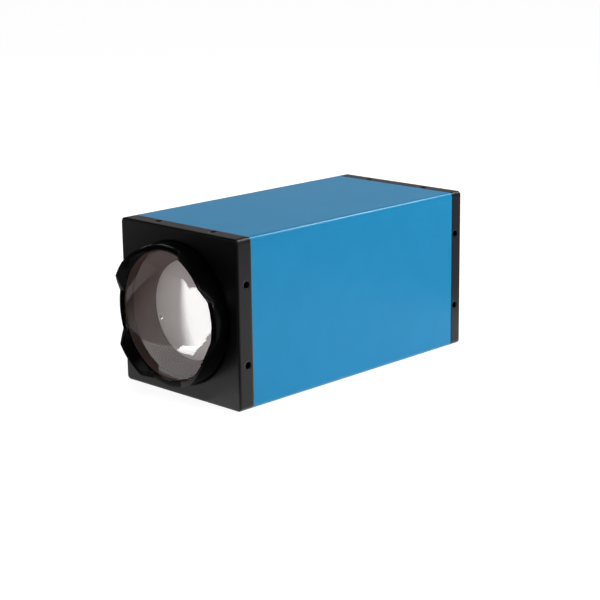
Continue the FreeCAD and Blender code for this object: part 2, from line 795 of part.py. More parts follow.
def make_iris_coil():
    """Drive coil: a cup round the magnet, on a foot with two legs to the iris base."""
    cup_end = coil_front + coil_length
    cap_end = cup_end + coil_foot_thickness
    foot_half = coil_leg_offset + coil_leg_radius
    cup = iris_rod(coil_radius, 0, iris_pivot_offset, coil_front, cap_end)
    foot = iris_block(-foot_half, foot_half, iris_pivot_offset - coil_leg_radius,
                      iris_pivot_offset + coil_leg_radius, coil_front,
                      coil_front + coil_foot_thickness)
    legs = [iris_rod(coil_leg_radius, along, iris_pivot_offset, iris_front + iris_plate,
                     coil_front + coil_foot_thickness)
            for along in (-coil_leg_offset, coil_leg_offset)]
    body = fused([cup, foot] + legs)
    return body.cut([iris_rod(coil_bore_radius, 0, iris_pivot_offset, coil_front, cup_end),
                     iris_rod(lever_shaft_radius + running_gap, 0, iris_pivot_offset,
                              cup_end, cap_end)])


# ---------------------------------------------------------------- rear barrel and filter
def filter_point(offset):
    """Sideways offset and height of a place on the filter arm's line."""
    angle = math.radians(filter_angle)
    return offset * math.cos(angle), offset * math.sin(angle)


def make_rear_barrel():
    front_wall = rod(rear_barrel_radius, rear_barrel_depth, filter_bay_front)
    rear_wall = rod(rear_barrel_radius, filter_bay_back, rear_barrel_back)
    x, height = filter_point(filter_pivot_offset)
    pin = rod(filter_pin_radius, filter_bay_front, filter_bay_back, x, height)
    body = fused([front_wall, rear_wall, pin,
                  longerons(filter_bay_front, filter_bay_back, rear_barrel_radius)])
    cuts = [rod(rear_barrel_opening, rear_barrel_depth, filter_bay_front)]
    cuts += [rod(rod_radius, rear_barrel_depth, filter_bay_front, side * rod_offset)
             for side in (-1, 1)]
    width, tall = sensor_window
    cuts.append(block(-width / 2.0, width / 2.0, filter_bay_back, rear_barrel_back,
                      -tall / 2.0, tall / 2.0))
    cuts += [rod(board_screw_radius, rear_barrel_back - board_screw_bite, rear_barrel_back,
                 x_screw, screw_height) for x_screw, screw_height in four_corners(spacer_offset)]
    return body.cut(cuts)


def make_filter_arm():
    front = filter_arm_front
    back = front + filter_arm_thickness
    x, height = filter_point(filter_pivot_offset)
    ring = rod(filter_ring_radius, front, back)
    boss = rod(filter_magnet_radius, front, back, x, height)
    web = block(0, filter_pivot_offset, front, back, -filter_arm_half_width,
                filter_arm_half_width)
    body = fused([ring, boss, turned_by(web, filter_angle)])
    return body.cut([rod(filter_glass_radius, front, back),
                     rod(filter_pin_radius + running_gap, front, back, x, height)])


def make_filter_magnet():
    front = filter_arm_front + filter_arm_thickness
    x, height = filter_point(filter_pivot_offset)
    return pipe(filter_magnet_radius, filter_pin_radius + running_gap, front,
                front + filter_magnet_length, x, height)


def make_filter_coil():
    side = filter_coil_size / 2.0
    x, height = filter_point(filter_coil_offset)
    return block(x - side, x + side, filter_arm_front, filter_bay_back,
                 height - side, height + side)


# ---------------------------------------------------------------- sensor and boards
def centred_block(size, depth0, depth1, x=0.0, height=0.0):
    width, tall = size
    return block(x - width / 2.0, x + width / 2.0, depth0, depth1,
                 height - tall / 2.0, height + tall / 2.0)


def make_board(front):
    """Square circuit board notched clear of the sleeve's screw bosses."""
    back = front + board_thickness
    board = block(-board_half, board_half, front, back, -board_half, board_half)
    inner = board_half - board_notch
    cuts = []
    for x, height in four_corners(1.0):
        low_x, high_x = sorted((x * inner, x * board_half))
        low_height, high_height = sorted((height * inner, height * board_half))
        cuts.append(block(low_x, high_x, front, back, low_height, high_height))
    cuts += [rod(board_screw_radius, front, back, x, height)
             for x, height in four_corners(spacer_offset)]
    return board.cut(cuts)


def make_board_spacers():
    spans = ((rear_barrel_back, sensor_board_front), (sensor_board_back, processor_front))
    return Part.makeCompound([pipe(spacer_radius, board_screw_radius, depth0, depth1, x, height)
                              for depth0, depth1 in spans
                              for x, height in four_corners(spacer_offset)])


def make_board_screws():
    tip = rear_barrel_back - board_screw_bite
    screws = []
    for x, height in four_corners(spacer_offset):
        shank = rod(board_screw_radius, tip, processor_back, x, height)
        head = rod(board_screw_head_radius, processor_back,
                   processor_back + board_screw_head_height, x, height)
        screws.append(fused([shank, head]))
    return Part.makeCompound(screws)


def make_sensor_seal():
    outer = centred_block(seal_size, rear_barrel_back, sensor_front)
    return outer.cut(centred_block(sensor_glass_size, rear_barrel_back, sensor_front))


def make_processor_chips():
    chips = [centred_block((width, tall), processor_front - chip_height, processor_front,
                           x, height) for x, height, width, tall in chip_sizes]
    x, height, width, tall = heat_chip
    chips.append(centred_block((width, tall), processor_back, processor_back + chip_height,
                               x, height))
    return Part.makeCompound(chips)


def make_heat_pad():
    x, height, width, tall = heat_chip
    front = processor_back + chip_height
    return centred_block((width, tall), front, front + heat_pad_thickness, x, height)


def make_heat_bridge():
    """Bent sheet from the pad to the sleeve's inner side."""
    front = processor_back + chip_height + heat_pad_thickness
    plate_part = block(bridge_inner_edge, sleeve_inside, front, front + bridge_sheet,
                       bridge_low, bridge_high)
    leg = block(sleeve_inside - bridge_sheet, sleeve_inside, front, front + bridge_length,
                bridge_low, bridge_high)
    return fused([plate_part, leg])


def make_ribbon(start, side, towards):
    """Flat cable from a motor's end along the sleeve to the processing board."""
    line_high = ribbon_line + ribbon_thickness

    def strip(depth_a, depth_b, low, high):
        depth0, depth1 = sorted((depth_a, depth_b))
        low, high = sorted((side * low, side * high))
        return block(-ribbon_half_width, ribbon_half_width, depth0, depth1, low, high)

    end = processor_front
    return fused([strip(start, start + towards * ribbon_thickness, screw_offset, line_high),
                  strip(start, end, ribbon_line, line_high),
                  strip(end - ribbon_thickness, end, board_half - ribbon_foot, line_high)])


# ---------------------------------------------------------------- network socket
def make_network_jack():
    body = block(-jack_width / 2.0, jack_width / 2.0, jack_front, jack_back, jack_low, jack_high)
    mouth_front = jack_back - jack_mouth_depth
    mouth_low = jack_height_offset - jack_mouth_height / 2.0
    mouth_high = jack_height_offset + jack_mouth_height / 2.0
    mouth = block(-jack_mouth_width / 2.0, jack_mouth_width / 2.0, mouth_front, jack_back,
                  mouth_low, mouth_high)
    latch = block(-jack_latch_width / 2.0, jack_latch_width / 2.0, mouth_front, jack_back,
                  mouth_low - jack_latch_height, mouth_low)
    return body.cut([mouth, latch])


def make_jack_contacts():
    """Spring contacts sloping down from the socket's roof towards its end wall."""
    roof = jack_height_offset + jack_mouth_height / 2.0
    wall = jack_back - jack_mouth_depth
    contacts = []
    for i in range(jack_contact_count):
        x = (i - (jack_contact_count - 1) / 2.0) * jack_contact_pitch
        corners = [place(x - jack_contact_width / 2.0, wall + jack_contact_length, roof),
                   place(x - jack_contact_width / 2.0, wall, roof - jack_contact_drop),
                   place(x - jack_contact_width / 2.0, wall,
                         roof - jack_contact_drop + jack_contact_width),
                   place(x - jack_contact_width / 2.0,
                         wall + jack_contact_length - 2.0 * jack_contact_width, roof)]
        face = Part.Face(Part.makePolygon(corners + corners[:1]))
        contacts.append(face.extrude(Vector(jack_contact_width, 0, 0)))
    return Part.makeCompound(contacts)


def make_interface_board():
    return block(-interface_half_width, interface_half_width, interface_front, interface_back,
                 jack_low - board_thickness, jack_low)


def make_rear_link():
    width, tall = rear_link_size
    return block(-width / 2.0, width / 2.0, processor_back, jack_front - rear_link_gap,
                 jack_low, jack_low + tall)


# ---------------------------------------------------------------- round connector and lamp
def make_io_shell():
    shell = turned([(io_bore_radius, io_insulator_front), (io_shell_radius, io_insulator_front),
                    (io_shell_radius, body_length), (io_flange_radius, body_length),
                    (io_flange_radius, body_length + io_flange_thickness),
                    (io_shell_radius, body_length + io_flange_thickness),
                    (io_shell_radius, io_back), (io_bore_radius, io_back)],
                   -io_offset, io_offset)
    return shell


def make_io_nut():
    front = rear_pocket_floor - io_nut_thickness
    nut = hexagon(io_nut_width, front, rear_pocket_floor, -io_offset, io_offset)
    return nut.cut(rod(io_shell_radius, front, rear_pocket_floor, -io_offset, io_offset))


def io_pin_places():
    """Pins on two rings about the connector's own centre."""
    places = []
    for ring_radius, count in zip(io_pin_ring_radii, io_pin_ring_counts):
        for i in range(count):
            angle = 2.0 * math.pi * i / count + math.pi / 2.0
            places.append((-io_offset + ring_radius * math.cos(angle),
                           io_offset + ring_radius * math.sin(angle)))
    return places


def make_io_insulator():
    body = rod(io_bore_radius, io_insulator_front, io_insulator_back, -io_offset, io_offset)
    return body.cut([rod(io_pin_radius, io_insulator_front, io_insulator_back, x, height)
                     for x, height in io_pin_places()])


def make_io_pins():
    return Part.makeCompound([rod(io_pin_radius, io_board_back, io_pin_tip, x, height)
                              for x, height in io_pin_places()])


def make_io_board():
    return block(-io_offset - io_board_half, -io_offset + io_board_half,
                 io_board_back - board_thickness, io_board_back,
                 io_offset - io_board_half, io_offset + io_board_half)


def make_status_lamp():
    dome = Part.makeSphere(lamp_radius, place(io_offset, body_length + lamp_proud - lamp_radius,
                                              io_offset))
    shaft = rod(lamp_radius, body_length + lamp_proud - lamp_length,
                body_length + lamp_proud - lamp_radius, io_offset, io_offset)
    flange = rod(lamp_flange_radius, rear_pocket_floor - lamp_flange_thickness,
                 rear_pocket_floor, io_offset, io_offset)
    return fused([shaft, dome, flange])


# ---------------------------------------------------------------- the whole camera
parts["front_plate"] = make_front_plate()
parts["sleeve"] = make_sleeve()
parts["rear_plate"] = make_rear_plate()
parts["tie_screws"] = make_tie_screws()

parts["lens_collar"] = make_lens_collar()
parts["lens_screws"] = make_lens_screws()
parts["front_lens"] = lens(collar_bore_radius, front_lens_seat, front_lens_back,
                           front_lens_bulge, -front_lens_hollow, rim_bore_radius)
parts["front_spacer"] = make_front_spacer()
parts["second_lens"] = lens(second_lens_radius, spacer_seat_depth, second_lens_back,
                            second_lens_bulge, -second_lens_hollow, spacer_throat_radius)

parts["lens_chassis"] = make_lens_chassis()
parts["left_guide_rod"] = make_guide_rod(-rod_offset)
parts["right_guide_rod"] = make_guide_rod(rod_offset)

parts["zoom_carriage"] = make_carriage(zoom_start, zoom_ring_radius, zoom_lens_radius,
                                       zoom_ring_length, zoom_bush_length, -1, 1)
parts["zoom_lens"] = lens(zoom_lens_radius, zoom_start + lens_margin,
                          zoom_start + zoom_ring_length - lens_margin, -zoom_lens_hollow,
                          -zoom_lens_hollow, zoom_lens_radius - lens_margin)
parts["zoom_nut"] = make_nut(zoom_start, 1)
parts["zoom_screw"] = make_screw(chassis_ring_back, middle_wall_depth, 1, 1)
parts["zoom_motor"] = make_motor(middle_wall_back, middle_wall_depth, 1, 1)
parts["zoom_bracket"] = make_bracket(chassis_ring_back, middle_wall_depth, 1)

parts["middle_cell"] = make_middle_cell()
parts["middle_lens"] = lens(cell_bore_radius, middle_wall_depth - cell_lead + middle_lens_setback,
                            middle_wall_depth - cell_lead + middle_lens_setback
                            + middle_lens_edge, middle_lens_bulge, middle_lens_bulge,
                            cell_bore_radius - lens_margin)
parts["iris_base"] = make_iris_base()
parts["iris_blade_upper"] = make_blade(upper_blade_front, 1,
                                       iris_pivot_offset + iris_pin_offset)
parts["iris_blade_lower"] = make_blade(lower_blade_front, -1,
                                       iris_pivot_offset - iris_pin_offset)
parts["iris_lever"] = make_iris_lever()
parts["iris_magnet"] = make_iris_magnet()
parts["iris_coil"] = make_iris_coil()

parts["focus_carriage"] = make_carriage(focus_start, focus_ring_radius, focus_lens_radius,
                                        focus_ring_length, focus_bush_length, 1, -1)
parts["focus_lens"] = lens(focus_lens_radius, focus_start + lens_margin,
                           focus_start + focus_ring_length - lens_margin, focus_lens_bulge,
                           focus_lens_bulge, focus_lens_radius - lens_margin)
parts["focus_nut"] = make_nut(focus_start, -1)
parts["focus_screw"] = make_screw(rear_barrel_depth, middle_wall_back, -1, -1)
parts["focus_motor"] = make_motor(middle_wall_depth, middle_wall_back, -1, -1)
parts["focus_bracket"] = make_bracket(rear_barrel_depth, middle_wall_back, -1)

parts["rear_barrel"] = make_rear_barrel()
parts["filter_arm"] = make_filter_arm()
parts["filter_glass"] = rod(filter_glass_radius, filter_arm_front,
                            filter_arm_front + filter_arm_thickness)
parts["filter_magnet"] = make_filter_magnet()
parts["filter_coil"] = make_filter_coil()

parts["sensor_seal"] = make_sensor_seal()
parts["sensor_glass"] = centred_block(sensor_glass_size, sensor_front - sensor_glass_thickness,
                                      sensor_front)
parts["sensor"] = centred_block(sensor_size, sensor_front, sensor_board_front)
parts["sensor_board"] = make_board(sensor_board_front)
parts["board_spacers"] = make_board_spacers()
parts["board_link"] = centred_block(link_size, sensor_board_back, processor_front, 0,
                                    link_height)
parts["processor_board"] = make_board(processor_front)
parts["processor_chips"] = make_processor_chips()
parts["board_screws"] = make_board_screws()
parts["heat_pad"] = make_heat_pad()
parts["heat_bridge"] = make_heat_bridge()
parts["zoom_ribbon"] = make_ribbon(middle_wall_back + motor_length, 1, 1)
parts["focus_ribbon"] = make_ribbon(middle_wall_depth - motor_length, -1, -1)

parts["interface_board"] = make_interface_board()
parts["rear_link"] = make_rear_link()
parts["network_jack"] = make_network_jack()
parts["jack_contacts"] = make_jack_contacts()
parts["io_shell"] = make_io_shell()
parts["io_nut"] = make_io_nut()
parts["io_insulator"] = make_io_insulator()
parts["io_pins"] = make_io_pins()
parts["io_board"] = make_io_board()
parts["status_lamp"] = make_status_lamp()

os.makedirs("parts", exist_ok=True)
for name, shape in parts.items():
    if not shape.isValid():
        raise ValueError(name + " is not a valid shape")
    shape.exportStep(os.path.join("parts", name + ".step"))
    print("%-18s solids %2d  volume %9.2f" % (name, len(shape.Solids), shape.Volume))
print("travel: zoom %.2f mm, focus %.2f mm" % (zoom_travel, focus_travel))
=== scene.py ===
import json
import math

import bpy
from mathutils import Matrix, Vector


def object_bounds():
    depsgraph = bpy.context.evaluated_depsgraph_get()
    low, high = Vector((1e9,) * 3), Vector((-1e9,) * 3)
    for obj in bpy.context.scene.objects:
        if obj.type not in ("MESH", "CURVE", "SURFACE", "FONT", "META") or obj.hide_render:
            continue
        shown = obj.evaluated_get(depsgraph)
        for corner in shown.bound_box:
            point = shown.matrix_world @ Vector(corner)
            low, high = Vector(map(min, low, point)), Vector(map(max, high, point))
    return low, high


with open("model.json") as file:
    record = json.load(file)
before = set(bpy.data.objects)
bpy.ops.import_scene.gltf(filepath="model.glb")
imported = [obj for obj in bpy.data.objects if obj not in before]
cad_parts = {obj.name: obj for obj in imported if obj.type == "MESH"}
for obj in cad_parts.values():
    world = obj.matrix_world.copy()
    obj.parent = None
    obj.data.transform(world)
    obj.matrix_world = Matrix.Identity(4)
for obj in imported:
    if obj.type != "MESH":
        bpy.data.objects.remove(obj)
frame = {"nodes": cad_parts, "record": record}
CAD_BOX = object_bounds()

MM = 0.001
WHITE = (1.0, 1.0, 1.0, 1.0)

NOISE_SPAN = (0.3, 0.7)          # most of a noise texture's values lie in it
GRAIN_DEPTH = 0.002 * MM
GLASS_ROUGHNESS = 0.03
GRAZING_GLOSS = 0.3              # what glass mirrors at grazing angles, over its square share
GRAZING_POWER = 5.0
GROUND_EDGE_LEAN = 0.3           # lens faces whose normals lean less to the axis are ground


# ---------------------------------------------------------------- node helpers
def srgb(red, green, blue):
    """Linear colour from 0-255 display values."""
    def linear(value):
        share = value / 255.0
        return share / 12.92 if share <= 0.04045 else ((share + 0.055) / 1.055) ** 2.4
    return (linear(red), linear(green), linear(blue), 1.0)


def empty_tree(owner):
    """Emptied node tree of a new material or world."""
    owner.use_nodes = True
    owner.node_tree.nodes.clear()
    return owner.node_tree


def link(tree, source, target):
    tree.links.new(source, target)


def math_node(tree, operation, *values):
    """Math node fed by sockets or numbers."""
    node = tree.nodes.new("ShaderNodeMath")
    node.operation = operation
    for entry, value in zip(node.inputs, values):
        if isinstance(value, (int, float)):
            entry.default_value = value
        else:
            link(tree, value, entry)
    return node.outputs["Value"]


def map_range(tree, source, span, low, high, interpolation="LINEAR"):
    """Map a value within `span` onto low..high, held at the ends."""
    ranged = tree.nodes.new("ShaderNodeMapRange")
    ranged.interpolation_type = interpolation
    ranged.inputs["From Min"].default_value = span[0]
    ranged.inputs["From Max"].default_value = span[1]
    ranged.inputs["To Min"].default_value = low
    ranged.inputs["To Max"].default_value = high
    link(tree, source, ranged.inputs["Value"])
    return ranged.outputs["Result"]


def mix_colours(tree, share, first, second):
    """Blend two colours by a 0-1 value."""
    mixed = tree.nodes.new("ShaderNodeMix")
    mixed.data_type = "RGBA"
    mixed.inputs["A"].default_value = first
    mixed.inputs["B"].default_value = second
    link(tree, share, mixed.inputs["Factor"])
    return mixed.outputs["Result"]


def mix_shaders(tree, share, first, second):
    """Blend two shaders by a 0-1 value."""
    mixed = tree.nodes.new("ShaderNodeMixShader")
    link(tree, share, mixed.inputs["Fac"])
    link(tree, first, mixed.inputs[1])
    link(tree, second, mixed.inputs[2])
    return mixed.outputs["Shader"]


def emission(tree, strength):
    """White light given off, its strength a number or a socket."""
    glow = tree.nodes.new("ShaderNodeEmission")
    if isinstance(strength, float):
        glow.inputs["Strength"].default_value = strength
    else:
        link(tree, strength, glow.inputs["Strength"])
    return glow.outputs["Emission"]


def diffuse(tree, colour):
    matt = tree.nodes.new("ShaderNodeBsdfDiffuse")
    matt.inputs["Color"].default_value = colour
    return matt.outputs["BSDF"]


def noise(tree, size, detail):
    """Noise over the object whose largest features are about `size` metres across."""
    place = tree.nodes.new("ShaderNodeTexCoord")
    texture = tree.nodes.new("ShaderNodeTexNoise")
    texture.inputs["Scale"].default_value = 1.0 / size
    texture.inputs["Detail"].default_value = detail
    link(tree, place.outputs["Object"], texture.inputs["Vector"])
    return texture.outputs["Fac"]


def raised_normal(tree, height, edge):
    """Normal of a fine grain, over edges shaded as if broken by `edge` metres."""
    raised = tree.nodes.new("ShaderNodeBump")
    raised.inputs["Distance"].default_value = GRAIN_DEPTH
    link(tree, height, raised.inputs["Height"])
    if edge > 0.0:
        broken = tree.nodes.new("ShaderNodeBevel")
        broken.samples = 6
        broken.inputs["Radius"].default_value = edge
        link(tree, broken.outputs["Normal"], raised.inputs["Normal"])
    return raised.outputs["Normal"]


def finish_with(tree, shader):
    """Make `shader` the surface of a material."""
    output = tree.nodes.new("ShaderNodeOutputMaterial")
    link(tree, shader, output.inputs["Surface"])


# ---------------------------------------------------------------- finishes, one per material slot
def grained(name, dark, light, rough, metallic=0.0, specular=0.5, patch=4 * MM,
            grain=0.12 * MM, edge=0.0):
    """Solid finish with slow colour patches, uneven gloss and a fine grain."""
    material = bpy.data.materials.new(name)
    tree = empty_tree(material)
    shade = map_range(tree, noise(tree, patch, detail=4.0), NOISE_SPAN, 0.0, 1.0)
    fine = noise(tree, grain, detail=2.0)
    shader = tree.nodes.new("ShaderNodeBsdfPrincipled")
    shader.inputs["Metallic"].default_value = metallic
    shader.inputs["Specular IOR Level"].default_value = specular
    link(tree, mix_colours(tree, shade, dark, light), shader.inputs["Base Color"])
    link(tree, map_range(tree, fine, NOISE_SPAN, *rough), shader.inputs["Roughness"])
    link(tree, raised_normal(tree, fine, edge), shader.inputs["Normal"])
    finish_with(tree, shader.outputs["BSDF"])
    return material


def clear_glass(name, colour, gloss_tint, reflect, edge_colour=None):
    """See-through glass, its outer side mirroring `reflect` of the light seen squarely and
    more at grazing angles. With `edge_colour` the faces along its axis are ground matt."""
    material = bpy.data.materials.new(name)
    tree = empty_tree(material)
    through = tree.nodes.new("ShaderNodeBsdfTransparent")
    through.inputs["Color"].default_value = colour
    gloss = tree.nodes.new("ShaderNodeBsdfGlossy")
    gloss.inputs["Color"].default_value = gloss_tint
    gloss.inputs["Roughness"].default_value = GLASS_ROUGHNESS
    facing = tree.nodes.new("ShaderNodeLayerWeight")
    facing.inputs["Blend"].default_value = 0.5
    grazing = math_node(tree, "POWER", facing.outputs["Facing"], GRAZING_POWER)
    rising = math_node(tree, "MULTIPLY_ADD", grazing, GRAZING_GLOSS, reflect)
    surface = tree.nodes.new("ShaderNodeNewGeometry")
    outer = math_node(tree, "SUBTRACT", 1.0, surface.outputs["Backfacing"])
    shader = mix_shaders(tree, math_node(tree, "MULTIPLY", rising, outer),
                         through.outputs["BSDF"], gloss.outputs["BSDF"])
    if edge_colour:
        turned = tree.nodes.new("ShaderNodeSeparateXYZ")
        link(tree, surface.outputs["True Normal"], turned.inputs["Vector"])
        along = math_node(tree, "ABSOLUTE", turned.outputs["Y"])
        ground = math_node(tree, "LESS_THAN", along, GROUND_EDGE_LEAN)
        shader = mix_shaders(tree, ground, shader, diffuse(tree, edge_colour))
    finish_with(tree, shader)
    return material


def make_materials():
    """The finish of each material slot, by the slot's name."""
    plain = {
        "black_plate": dict(dark=srgb(8, 8, 8), light=srgb(11, 11, 11), rough=(0.3, 0.36),
                            specular=0.12, patch=6 * MM, grain=0.10 * MM, edge=0.8 * MM),
        "blue_sleeve": dict(dark=srgb(14, 138, 190), light=srgb(18, 142, 194),
                            rough=(0.3, 0.36), specular=0.12, patch=9 * MM, grain=0.14 * MM),
        "lens_plastic": dict(dark=srgb(4, 4, 5), light=srgb(7, 7, 8), rough=(0.14, 0.2),
                             specular=0.05, patch=3 * MM, edge=1.0 * MM),
        "spacer_satin": dict(dark=srgb(106, 86, 82), light=srgb(116, 96, 90),
                             rough=(0.5, 0.6), specular=0.2, patch=7 * MM),
        # inner_glass: its near-white matt base colour is a painted reflection, standing in for
        # the bright studio that the inner lens mirrors; only its gloss comes from the shader
        "inner_glass": dict(dark=srgb(234, 231, 234), light=srgb(238, 235, 238),
                            rough=(0.36, 0.4), specular=0.9, patch=20 * MM),
        "blade_film": dict(dark=srgb(30, 30, 32), light=srgb(38, 38, 40), rough=(0.45, 0.6)),
        "coil_plastic": dict(dark=srgb(150, 92, 48), light=srgb(172, 110, 60),
                             rough=(0.35, 0.5), patch=1 * MM),
        "rubber_seal": dict(dark=srgb(24, 24, 24), light=srgb(30, 30, 30), rough=(0.7, 0.8)),
        "chip_ceramic": dict(dark=srgb(34, 34, 36), light=srgb(44, 44, 46), rough=(0.5, 0.6)),
        "board_green": dict(dark=srgb(16, 74, 44), light=srgb(22, 92, 54), rough=(0.3, 0.45)),
        "heat_pad": dict(dark=srgb(150, 156, 168), light=srgb(166, 172, 182),
                         rough=(0.75, 0.85)),
        "ribbon_film": dict(dark=srgb(184, 110, 40), light=srgb(202, 130, 54),
                            rough=(0.25, 0.35)),
        "insulator": dict(dark=srgb(22, 22, 24), light=srgb(30, 30, 32), rough=(0.4, 0.5)),
        "lamp_plastic": dict(dark=srgb(186, 214, 190), light=srgb(206, 230, 208),
                             rough=(0.15, 0.22), patch=1 * MM),
    }
    metals = {
        "steel_screw": (srgb(60, 60, 62), srgb(84, 84, 86), (0.3, 0.45), 1 * MM),
        "steel": (srgb(176, 178, 180), srgb(200, 200, 200), (0.2, 0.32), 2 * MM),
        "brass_nut": (srgb(190, 150, 80), srgb(210, 172, 100), (0.25, 0.4), 1 * MM),
        "motor_can": (srgb(150, 152, 154), srgb(176, 178, 180), (0.3, 0.42), 2 * MM),
        "sheet_steel": (srgb(164, 166, 168), srgb(190, 190, 192), (0.28, 0.4), 2 * MM),
        "magnet": (srgb(90, 90, 92), srgb(112, 112, 114), (0.25, 0.4), 1 * MM),
        "bridge_aluminium": (srgb(186, 188, 190), srgb(206, 206, 208), (0.3, 0.45), 4 * MM),
        "jack_metal": (srgb(178, 180, 182), srgb(204, 204, 206), (0.22, 0.34), 3 * MM),
        "contact_gold": (srgb(214, 170, 84), srgb(232, 194, 110), (0.18, 0.28), 1 * MM),
        "connector_metal": (srgb(168, 170, 172), srgb(196, 196, 198), (0.2, 0.32), 2 * MM),
    }
    made = {slot: grained(slot, **finish) for slot, finish in plain.items()}
    for slot, (dark, light, rough, patch) in metals.items():
        made[slot] = grained(slot, dark, light, rough, metallic=1.0, patch=patch)
    made["coated_glass"] = clear_glass("coated_glass", (0.95, 0.93, 0.92, 1.0), WHITE,
                                       reflect=0.03, edge_colour=srgb(106, 90, 84))
    made["filter_glass"] = clear_glass("filter_glass", (0.62, 0.85, 0.86, 1.0),
                                       (1.0, 0.9, 0.9, 1.0), reflect=0.05)
    return made


def dress_nodes():
    """Give every CAD node the finish of its material slot."""
    materials = make_materials()
    for row in frame["record"]["subparts"]:
        mesh = frame["nodes"][row["node"]].data
        mesh.materials.clear()
        mesh.materials.append(materials[row["material_slot"]])


def loosen(node, gap):
    """Draw a seated piece in by `gap`, so that its faces and its seat's don't coincide."""
    shrink = frame["nodes"][node].modifiers.new("loosen", "DISPLACE")
    shrink.mid_level = 0.0
    shrink.strength = -gap


# ---------------------------------------------------------------- world and floor
def seen_directly(tree):
    """1 for rays from the camera, in mirrors and through glass, 0 for diffuse light."""
    path = tree.nodes.new("ShaderNodeLightPath")
    seen = path.outputs["Is Camera Ray"]
    for kind in ("Is Glossy Ray", "Is Transmission Ray"):
        seen = math_node(tree, "MAXIMUM", seen, path.outputs[kind])
    return seen


def dark_above(tree):
    """1, but in mirrors a little less, falling to a dim ceiling above about 20 degrees."""
    falls_from, dim_from = 0.08, 0.32        # heights of a direction of length 1
    horizon, ceiling = 0.8, 0.1
    heading = tree.nodes.new("ShaderNodeTexCoord")
    parts = tree.nodes.new("ShaderNodeSeparateXYZ")
    link(tree, heading.outputs["Generated"], parts.inputs["Vector"])
    falling = map_range(tree, parts.outputs["Z"], (falls_from, dim_from), horizon, ceiling,
                        interpolation="SMOOTHSTEP")
    path = tree.nodes.new("ShaderNodeLightPath")
    mixed = tree.nodes.new("ShaderNodeMix")
    mixed.inputs["A"].default_value = 1.0
    link(tree, path.outputs["Is Glossy Ray"], mixed.inputs["Factor"])
    link(tree, falling, mixed.inputs["B"])
    return mixed.outputs["Result"]


def make_world(ambient):
    """Even grey light, seen as white, its upper part dark in mirrors."""
    world = bpy.data.worlds.new("studio")
    bpy.context.scene.world = world
    tree = empty_tree(world)
    light = tree.nodes.new("ShaderNodeBackground")
    light.inputs["Strength"].default_value = ambient
    white = tree.nodes.new("ShaderNodeBackground")
    white.inputs["Color"].default_value = WHITE
    link(tree, dark_above(tree), white.inputs["Strength"])
    mixed = mix_shaders(tree, seen_directly(tree), light.outputs["Background"],
                        white.outputs["Background"])
    output = tree.nodes.new("ShaderNodeOutputWorld")
    link(tree, mixed, output.inputs["Surface"])


def flat_mesh(name, corners):
    """Stage object with one flat face."""
    mesh = bpy.data.meshes.new(name)
    mesh.from_pydata(corners, [], [tuple(range(len(corners)))])
    item = bpy.data.objects.new(name, mesh)
    bpy.context.scene.collection.objects.link(item)
    return item


def make_floor(half_size, shaded_share, glow_strength):
    """White floor: part shaded, so that the object keeps a soft shadow on it, part glowing,
    and clear from below."""
    floor = flat_mesh("floor", [(-half_size, -half_size, 0), (half_size, -half_size, 0),
                                (half_size, half_size, 0), (-half_size, half_size, 0)])
    floor.location.z = CAD_BOX[0].z - 0.05 * MM
    material = bpy.data.materials.new("floor_white")
    tree = empty_tree(material)
    share = math_node(tree, "MULTIPLY", seen_directly(tree), 1.0 - shaded_share)
    above = mix_shaders(tree, share, diffuse(tree, (0.85, 0.85, 0.85, 1.0)),
                        emission(tree, glow_strength))
    side = tree.nodes.new("ShaderNodeNewGeometry")
    clear = tree.nodes.new("ShaderNodeBsdfTransparent")
    finish_with(tree, mix_shaders(tree, side.outputs["Backfacing"], above,
                                  clear.outputs["BSDF"]))
    floor.data.materials.append(material)


# ---------------------------------------------------------------- what the gloss mirrors
def show_in_mirrors_alone(item):
    """Hide a stage object from all but gloss."""
    item.visible_camera = False
    item.visible_diffuse = False
    item.visible_shadow = False
    item.visible_transmission = False


def shine_on(source, nodes):
    """Let a lamp or glowing card light the named nodes alone."""
    lit = bpy.data.collections.new(source.name + "_receivers")
    for node in nodes:
        lit.objects.link(frame["nodes"][node])
    source.light_linking.receiver_collection = lit


def make_dark_mat(height):
    """Dark stretch of floor between the near corner and the camera, for mirrors alone."""
    beside, behind, reach = 1 * MM, 7 * MM, 1.0
    corner = Vector((CAD_BOX[1].x + beside, CAD_BOX[0].y + behind, CAD_BOX[0].z + height))
    fan = [corner]
    for azimuth in (-20, 10, 40, 70, 100, 122):
        turn = math.radians(azimuth)
        fan.append(corner + reach * Vector((math.sin(turn), -math.cos(turn), 0.0)))
    mat = flat_mesh("dark_mat", fan)
    material = bpy.data.materials.new("mat_black")
    tree = empty_tree(material)
    finish_with(tree, emission(tree, 0.02))
    mat.data.materials.append(material)
    show_in_mirrors_alone(mat)


def fading_glow(strength):
    """White glow that fades to the left across the lens card: most of it over a narrow
    band, the rest slowly."""
    fade_direction = (1.0, 0.14, 0.0)
    material = bpy.data.materials.new("card_glow")
    tree = empty_tree(material)
    place = tree.nodes.new("ShaderNodeTexCoord")
    reach = tree.nodes.new("ShaderNodeVectorMath")
    reach.operation = "DOT_PRODUCT"
    reach.inputs[1].default_value = fade_direction
    link(tree, place.outputs["Object"], reach.inputs[0])
    sharp = map_range(tree, reach.outputs["Value"], (-3 * MM, 11 * MM), 0.0, 0.9 * strength,
                      interpolation="SMOOTHSTEP")
    slow = map_range(tree, reach.outputs["Value"], (-70 * MM, 0.0), 0.0, 0.1 * strength)
    finish_with(tree, emission(tree, math_node(tree, "ADD", sharp, slow)))
    return material


